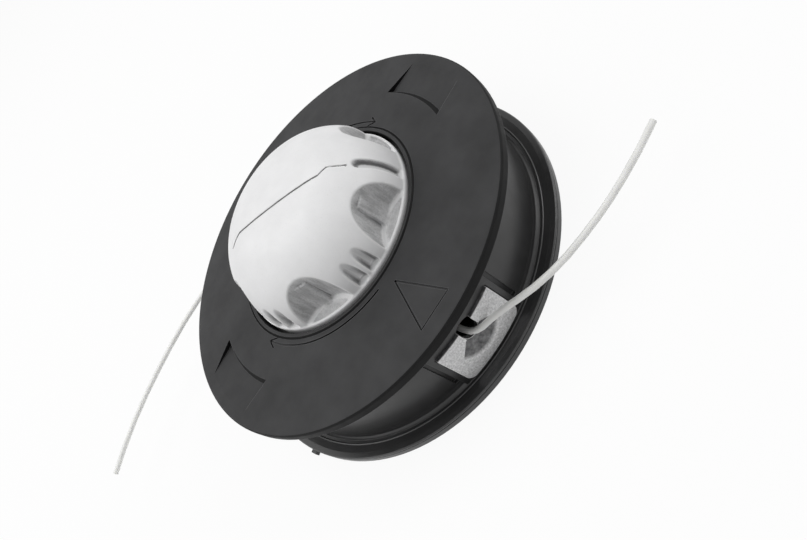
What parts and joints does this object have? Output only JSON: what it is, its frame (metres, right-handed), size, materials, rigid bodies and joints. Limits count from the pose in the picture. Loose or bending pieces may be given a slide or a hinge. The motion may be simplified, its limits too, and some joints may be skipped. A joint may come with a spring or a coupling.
{
  "type": "trimmer head",
  "caption": "Bump-feed line trimmer head: round drum housing with metal line eyelets, crowned front cover and a cast knob that is turned to rewind the cutting line.",
  "frame": {"origin": "centre of the housing's back plane, on the spin axis", "axes": "+Z along the spin axis towards the knob, +X out through the first line eyelet"},
  "size_m": [0.1512, 0.2001, 0.0554],
  "materials": {
    "housing_plastic": "gloss",
    "cover_plastic": "matte",
    "cast_aluminium": "satin",
    "eyelet_metal": "satin",
    "steel": "satin",
    "index_plastic": "matte",
    "spool_plastic": "matte",
    "bush_brass": "satin",
    "nylon": "satin"
  },
  "bodies": {
    "housing": {"housing": "housing_plastic", "eyelet_a": "eyelet_metal", "eyelet_b": "eyelet_metal", "arbor_nut": "steel", "arbor_washer": "steel", "nut_circlip": "steel", "index_ring": "index_plastic", "index_ring_screws": "steel", "spring_seat": "steel", "spring": "steel", "line_tail_a": "nylon", "line_tail_b": "nylon", "front_cover": "cover_plastic"},
    "bump_carrier": {"thrust_washer": "steel"},
    "spool": {"spool": "spool_plastic", "spool_bush": "bush_brass", "line_wound_lower": "nylon", "line_wound_upper": "nylon", "knob": "cast_aluminium", "knob_screws": "steel"}
  },
  "joints": [
    {"name": "bump_slide", "type": "slide", "parent": "housing", "child": "bump_carrier", "axis": [0, 0, 1], "range_m": [-0.005, 0], "stiffness_N_per_m": 3000, "springref_m": 0.008, "deforming": ["spring"]},
    {"name": "knob_turn", "type": "hinge", "parent": "bump_carrier", "child": "spool", "pos_m": [0, 0, 0.02], "axis": [0, 0, 1], "continuous": true}
  ]
}
